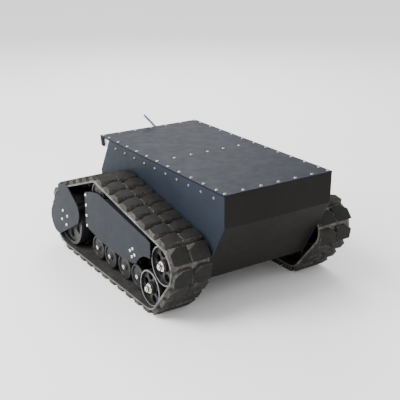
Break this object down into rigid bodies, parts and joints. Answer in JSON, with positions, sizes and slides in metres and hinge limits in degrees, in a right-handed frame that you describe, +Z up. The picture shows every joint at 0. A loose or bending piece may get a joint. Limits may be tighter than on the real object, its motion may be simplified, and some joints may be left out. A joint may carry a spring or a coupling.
{
  "type": "tracked tank chassis",
  "caption": "Low tracked robot chassis: a flat-decked sheet-metal hull between two lugged rubber tracks, with raised front idlers, rear drive sprockets and side covers.",
  "frame": {"origin": "on the ground, under the middle of the bounding box", "axes": "+Z up, the front faces -Y, +X is the vehicle's left side"},
  "size_m": [0.6456, 0.8202, 0.4239],
  "materials": {
    "antenna_grey": "satin",
    "battery_wrap": "shrink wrap",
    "black_paint": "satin black",
    "bright_steel": "bright zinc plate",
    "cast_grey": "bead blasted, dark",
    "deck_paint": "satin powder coat, blue grey",
    "rail_aluminium": "brushed",
    "rubber": "matte, dusty",
    "side_paint": "satin powder coat, dark blue grey",
    "wheel_black": "satin"
  },
  "bodies": {
    "chassis": {"antenna_base": "black_paint", "battery_pack": "battery_wrap", "deck_frame": "rail_aluminium", "deck_plate": "deck_paint", "drive_housing": "black_paint", "front_axle_left": "bright_steel", "front_axle_right": "bright_steel", "gear_motor_left": "cast_grey", "gear_motor_right": "cast_grey", "guard_screw_1_left": "bright_steel", "guard_screw_1_right": "bright_steel", "guard_screw_2_left": "bright_steel", "guard_screw_2_right": "bright_steel", "guard_screw_3_left": "bright_steel", "guard_screw_3_right": "bright_steel", "guard_screw_4_left": "bright_steel", "guard_screw_4_right": "bright_steel", "hull_pan": "black_paint", "motor_controller": "cast_grey", "outboard_bearing_left": "cast_grey", "outboard_bearing_right": "cast_grey", "rear_guard_left": "side_paint", "rear_guard_right": "side_paint", "rear_lip": "deck_paint", "side_cover_left": "side_paint", "side_cover_right": "side_paint", "side_panel_left": "side_paint", "side_panel_right": "side_paint", "track_belt_left": "rubber", "track_belt_right": "rubber", "track_frame_left": "black_paint", "track_frame_right": "black_paint"},
    "sprocket_drive_right": {"sprocket_right": "wheel_black", "drive_shaft_right": "bright_steel"},
    "idler_slide_right": {"tensioner_right": "cast_grey", "idler_axle_right": "bright_steel"},
    "idler_right": {"idler_wheel_right": "wheel_black"},
    "front_roller_right": {"front_wheel_right": "wheel_black"},
    "top_roller_right": {"top_wheel_right": "wheel_black"},
    "bogie_arm_front_right": {"bogie_front_right": "black_paint"},
    "road_roller_front_1_right": {"road_wheel_front_1_right": "wheel_black"},
    "road_roller_front_2_right": {"road_wheel_front_2_right": "wheel_black"},
    "bogie_arm_rear_right": {"bogie_rear_right": "black_paint"},
    "road_roller_rear_1_right": {"road_wheel_rear_1_right": "wheel_black"},
    "road_roller_rear_2_right": {"road_wheel_rear_2_right": "wheel_black"},
    "sprocket_drive_left": {"sprocket_left": "wheel_black", "drive_shaft_left": "bright_steel"},
    "idler_slide_left": {"tensioner_left": "cast_grey", "idler_axle_left": "bright_steel"},
    "idler_left": {"idler_wheel_left": "wheel_black"},
    "front_roller_left": {"front_wheel_left": "wheel_black"},
    "top_roller_left": {"top_wheel_left": "wheel_black"},
    "bogie_arm_front_left": {"bogie_front_left": "black_paint"},
    "road_roller_front_1_left": {"road_wheel_front_1_left": "wheel_black"},
    "road_roller_front_2_left": {"road_wheel_front_2_left": "wheel_black"},
    "bogie_arm_rear_left": {"bogie_rear_left": "black_paint"},
    "road_roller_rear_1_left": {"road_wheel_rear_1_left": "wheel_black"},
    "road_roller_rear_2_left": {"road_wheel_rear_2_left": "wheel_black"},
    "antenna": {"antenna_whip": "antenna_grey"}
  },
  "joints": [
    {"name": "sprocket_spin_right", "type": "hinge", "parent": "chassis", "child": "sprocket_drive_right", "pos_m": [-0.254, 0.29489, 0.11739], "axis": [1, 0, 0], "continuous": true},
    {"name": "tensioner_slide_right", "type": "slide", "parent": "chassis", "child": "idler_slide_right", "axis": [0, 1, 0], "range_m": [0, 0.01]},
    {"name": "idler_spin_right", "type": "hinge", "parent": "idler_slide_right", "child": "idler_right", "pos_m": [-0.254, -0.29861, 0.1695], "axis": [1, 0, 0], "continuous": true},
    {"name": "front_wheel_spin_right", "type": "hinge", "parent": "chassis", "child": "front_roller_right", "pos_m": [-0.254, -0.22861, 0.0755], "axis": [1, 0, 0], "continuous": true},
    {"name": "top_wheel_spin_right", "type": "hinge", "parent": "chassis", "child": "top_roller_right", "pos_m": [-0.254, 0.07289, 0.2585], "axis": [1, 0, 0], "continuous": true},
    {"name": "bogie_rock_front_right", "type": "hinge", "parent": "chassis", "child": "bogie_arm_front_right", "pos_m": [-0.254, -0.0831, 0.094], "axis": [1, 0, 0], "range_deg": [-4, 4]},
    {"name": "road_wheel_spin_front_1_right", "type": "hinge", "parent": "bogie_arm_front_right", "child": "road_roller_front_1_right", "pos_m": [-0.254, -0.1236, 0.063], "axis": [1, 0, 0], "continuous": true},
    {"name": "road_wheel_spin_front_2_right", "type": "hinge", "parent": "bogie_arm_front_right", "child": "road_roller_front_2_right", "pos_m": [-0.254, -0.04261, 0.063], "axis": [1, 0, 0], "continuous": true},
    {"name": "bogie_rock_rear_right", "type": "hinge", "parent": "chassis", "child": "bogie_arm_rear_right", "pos_m": [-0.254, 0.0879, 0.094], "axis": [1, 0, 0], "range_deg": [-4, 4]},
    {"name": "road_wheel_spin_rear_1_right", "type": "hinge", "parent": "bogie_arm_rear_right", "child": "road_roller_rear_1_right", "pos_m": [-0.254, 0.0474, 0.063], "axis": [1, 0, 0], "continuous": true},
    {"name": "road_wheel_spin_rear_2_right", "type": "hinge", "parent": "bogie_arm_rear_right", "child": "road_roller_rear_2_right", "pos_m": [-0.254, 0.12839, 0.063], "axis": [1, 0, 0], "continuous": true},
    {"name": "sprocket_spin_left", "type": "hinge", "parent": "chassis", "child": "sprocket_drive_left", "pos_m": [0.254, 0.29489, 0.11739], "axis": [1, 0, 0], "continuous": true},
    {"name": "tensioner_slide_left", "type": "slide", "parent": "chassis", "child": "idler_slide_left", "axis": [0, 1, 0], "range_m": [0, 0.01]},
    {"name": "idler_spin_left", "type": "hinge", "parent": "idler_slide_left", "child": "idler_left", "pos_m": [0.254, -0.29861, 0.1695], "axis": [1, 0, 0], "continuous": true},
    {"name": "front_wheel_spin_left", "type": "hinge", "parent": "chassis", "child": "front_roller_left", "pos_m": [0.254, -0.22861, 0.0755], "axis": [1, 0, 0], "continuous": true},
    {"name": "top_wheel_spin_left", "type": "hinge", "parent": "chassis", "child": "top_roller_left", "pos_m": [0.254, 0.07289, 0.2585], "axis": [1, 0, 0], "continuous": true},
    {"name": "bogie_rock_front_left", "type": "hinge", "parent": "chassis", "child": "bogie_arm_front_left", "pos_m": [0.254, -0.0831, 0.094], "axis": [1, 0, 0], "range_deg": [-4, 4]},
    {"name": "road_wheel_spin_front_1_left", "type": "hinge", "parent": "bogie_arm_front_left", "child": "road_roller_front_1_left", "pos_m": [0.254, -0.1236, 0.063], "axis": [1, 0, 0], "continuous": true},
    {"name": "road_wheel_spin_front_2_left", "type": "hinge", "parent": "bogie_arm_front_left", "child": "road_roller_front_2_left", "pos_m": [0.254, -0.04261, 0.063], "axis": [1, 0, 0], "continuous": true},
    {"name": "bogie_rock_rear_left", "type": "hinge", "parent": "chassis", "child": "bogie_arm_rear_left", "pos_m": [0.254, 0.0879, 0.094], "axis": [1, 0, 0], "range_deg": [-4, 4]},
    {"name": "road_wheel_spin_rear_1_left", "type": "hinge", "parent": "bogie_arm_rear_left", "child": "road_roller_rear_1_left", "pos_m": [0.254, 0.0474, 0.063], "axis": [1, 0, 0], "continuous": true},
    {"name": "road_wheel_spin_rear_2_left", "type": "hinge", "parent": "bogie_arm_rear_left", "child": "road_roller_rear_2_left", "pos_m": [0.254, 0.12839, 0.063], "axis": [1, 0, 0], "continuous": true},
    {"name": "antenna_hinge", "type": "hinge", "parent": "chassis", "child": "antenna", "pos_m": [0.142, 0.29389, 0.249], "axis": [0, 1, 0], "range_deg": [-45, 90]}
  ],
  "couplings": [
    {"joint": "idler_spin_right", "follows": "sprocket_spin_right", "ratio": 1.6318},
    {"joint": "front_wheel_spin_right", "follows": "sprocket_spin_right", "ratio": 1.7415},
    {"joint": "top_wheel_spin_right", "follows": "sprocket_spin_right", "ratio": 2.2882},
    {"joint": "road_wheel_spin_front_1_right", "follows": "sprocket_spin_right", "ratio": 2.3999},
    {"joint": "road_wheel_spin_front_2_right", "follows": "sprocket_spin_right", "ratio": 2.3999},
    {"joint": "road_wheel_spin_rear_1_right", "follows": "sprocket_spin_right", "ratio": 2.3999},
    {"joint": "road_wheel_spin_rear_2_right", "follows": "sprocket_spin_right", "ratio": 2.3999},
    {"joint": "idler_spin_left", "follows": "sprocket_spin_left", "ratio": 1.6318},
    {"joint": "front_wheel_spin_left", "follows": "sprocket_spin_left", "ratio": 1.7415},
    {"joint": "top_wheel_spin_left", "follows": "sprocket_spin_left", "ratio": 2.2882},
    {"joint": "road_wheel_spin_front_1_left", "follows": "sprocket_spin_left", "ratio": 2.3999},
    {"joint": "road_wheel_spin_front_2_left", "follows": "sprocket_spin_left", "ratio": 2.3999},
    {"joint": "road_wheel_spin_rear_1_left", "follows": "sprocket_spin_left", "ratio": 2.3999},
    {"joint": "road_wheel_spin_rear_2_left", "follows": "sprocket_spin_left", "ratio": 2.3999}
  ]
}
